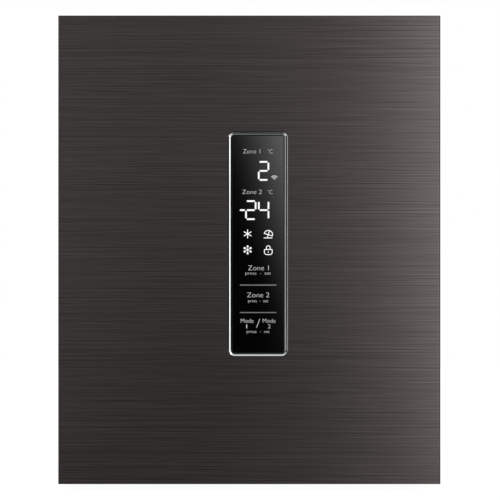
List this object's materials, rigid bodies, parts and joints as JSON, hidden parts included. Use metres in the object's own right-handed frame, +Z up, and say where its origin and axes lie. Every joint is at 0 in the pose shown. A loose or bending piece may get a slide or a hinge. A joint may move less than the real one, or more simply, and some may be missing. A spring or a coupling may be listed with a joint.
{
  "type": "compact refrigerator",
  "caption": "Compact refrigerator with one dark brushed steel door, a tall touch display, a freezer box, a crisper and an open wire condenser at the back.",
  "frame": {"origin": "middle of the footprint on the floor", "axes": "+X to the right of a person facing the door, -Y out of the door, +Z up"},
  "size_m": [0.45, 0.52, 0.56],
  "materials": {
    "door_steel": "dark tinted steel, fine horizontal brushing",
    "cabinet_paint": "satin dark grey powder coat",
    "zinc_sheet": "galvanised sheet",
    "insulation": "rigid foam",
    "liner_white": "glossy vacuum-formed sheet",
    "cap_plastic": "fine grained moulding",
    "gasket_rubber": "soft matte",
    "bearing_plastic": "natural white",
    "bright_frame": "polished bevel",
    "display_black": "black back-printed glass",
    "circuit_board": "solder mask",
    "clear_plastic": "clear polystyrene",
    "shelf_glass": "toughened glass",
    "shelf_trim": "satin",
    "evaporator_aluminium": "rolled sheet",
    "copper": "drawn copper tube",
    "compressor_black": "gloss black enamel",
    "condenser_black": "dipped black enamel",
    "grommet_rubber": "matte",
    "zinc_steel": "zinc plated"
  },
  "bodies": {
    "cabinet": {"cabinet_shell": "cabinet_paint", "rear_panel": "zinc_sheet", "base_pan": "zinc_sheet", "condenser_brackets": "zinc_sheet", "compressor_base_plate": "zinc_sheet", "cabinet_foam": "insulation", "cabinet_liner": "liner_white", "freezer_frame": "liner_white", "tray_rails": "liner_white", "sensor_cover": "liner_white", "evaporator_hangers": "liner_white", "top_hinge_cover": "cap_plastic", "wall_spacers": "cap_plastic", "rear_feet": "cap_plastic", "terminal_cover": "cap_plastic", "control_box": "cap_plastic", "cord_gland": "cap_plastic", "lamp_board": "circuit_board", "lamp_lens": "clear_plastic", "shelf_glass": "shelf_glass", "shelf_trims": "shelf_trim", "drain_tube": "shelf_trim", "drain_pan": "shelf_trim", "freezer_evaporator": "evaporator_aluminium", "suction_line": "copper", "filter_drier": "copper", "capillary_tube": "copper", "compressor_shell": "compressor_black", "condenser_tube": "condenser_black", "condenser_wires": "condenser_black", "discharge_line": "condenser_black", "compressor_grommets": "grommet_rubber", "compressor_bolts": "zinc_steel", "hinge_screws": "zinc_steel", "panel_screws": "zinc_steel", "top_hinge_bracket": "zinc_steel", "bottom_hinge_bracket": "zinc_steel", "foot_inserts": "zinc_steel"},
    "door": {"door_skin": "door_steel", "door_top_cap": "cap_plastic", "door_bottom_cap": "cap_plastic", "door_grip": "cap_plastic", "door_liner": "liner_white", "door_foam": "insulation", "door_gasket": "gasket_rubber", "hinge_bushes": "bearing_plastic", "display_housing": "cap_plastic", "display_board": "circuit_board", "display_frame": "bright_frame", "display_glass": "display_black"},
    "freezer_flap": {"freezer_flap": "liner_white"},
    "drip_tray": {"drip_tray": "clear_plastic"},
    "crisper_drawer": {"crisper_drawer": "clear_plastic"},
    "upper_bin": {"upper_bin": "clear_plastic"},
    "lower_bin": {"lower_bin": "clear_plastic"},
    "foot_left": {"foot_left": "cap_plastic"},
    "foot_right": {"foot_right": "cap_plastic"}
  },
  "joints": [
    {"name": "door_hinge", "type": "hinge", "parent": "cabinet", "child": "door", "pos_m": [0.211, -0.234, 0.286], "axis": [0, 0, 1], "range_deg": [0, 110]},
    {"name": "freezer_flap_hinge", "type": "hinge", "parent": "cabinet", "child": "freezer_flap", "pos_m": [0, -0.10235, 0.40775], "axis": [1, 0, 0], "range_deg": [0, 90]},
    {"name": "drip_tray_slide", "type": "slide", "parent": "cabinet", "child": "drip_tray", "axis": [0, -1, 0], "range_m": [0, 0.09]},
    {"name": "crisper_slide", "type": "slide", "parent": "cabinet", "child": "crisper_drawer", "axis": [0, -1, 0], "range_m": [0, 0.1]},
    {"name": "upper_bin_lift", "type": "slide", "parent": "door", "child": "upper_bin", "axis": [0, 0, 1], "range_m": [0, 0.022]},
    {"name": "lower_bin_lift", "type": "slide", "parent": "door", "child": "lower_bin", "axis": [0, 0, 1], "range_m": [0, 0.022]},
    {"name": "foot_left_screw", "type": "slide", "parent": "cabinet", "child": "foot_left", "axis": [0, 0, -1], "range_m": [0, 0.008]},
    {"name": "foot_right_screw", "type": "slide", "parent": "cabinet", "child": "foot_right", "axis": [0, 0, -1], "range_m": [0, 0.008]}
  ],
  "couplings": [
    {"joint": "freezer_flap_hinge", "follows": "door_hinge", "ratio": 0.8},
    {"joint": "drip_tray_slide", "follows": "door_hinge", "m_per_rad": 0.045},
    {"joint": "crisper_slide", "follows": "door_hinge", "m_per_rad": 0.052}
  ]
}
